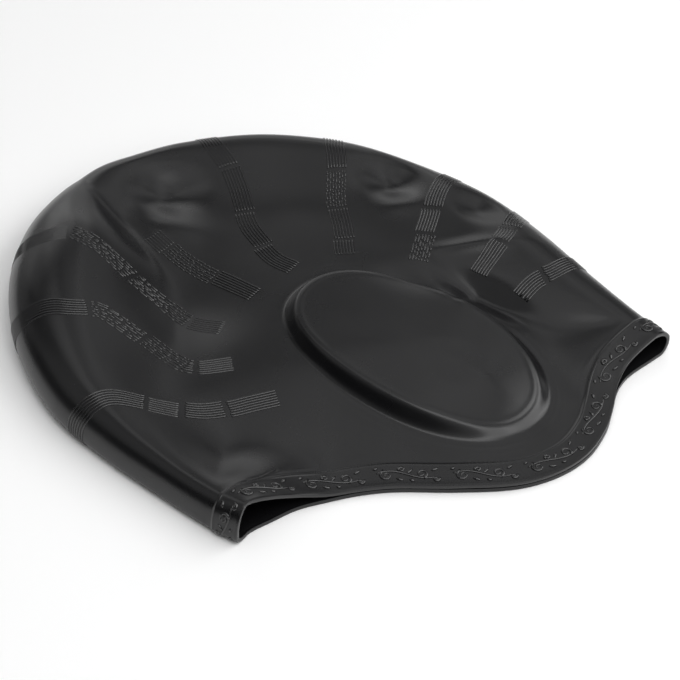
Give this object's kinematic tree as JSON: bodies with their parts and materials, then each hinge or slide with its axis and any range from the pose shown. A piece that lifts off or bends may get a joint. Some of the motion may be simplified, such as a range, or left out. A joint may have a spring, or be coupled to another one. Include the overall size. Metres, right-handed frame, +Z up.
{
  "type": "swim cap",
  "caption": "moulded silicone swim cap with an ear pocket on each side, lying flat on its side: rolled crown fold, wavy open mouth with a patterned rim band, raised grip ribs",
  "frame": {"origin": "on the floor under the middle of the bounding box of the cap as it lies on its side", "axes": "+X from the nape fold to the brow fold, +Y from the open mouth to the crown fold, +Z up, through the cap's two sheets"},
  "size_m": [0.1996, 0.221, 0.0245],
  "materials": {
    "silicone": "satin black moulded silicone, slightly dusty"
  },
  "bodies": {
    "root": {"cap_shell": "silicone"}
  },
  "joints": []
}
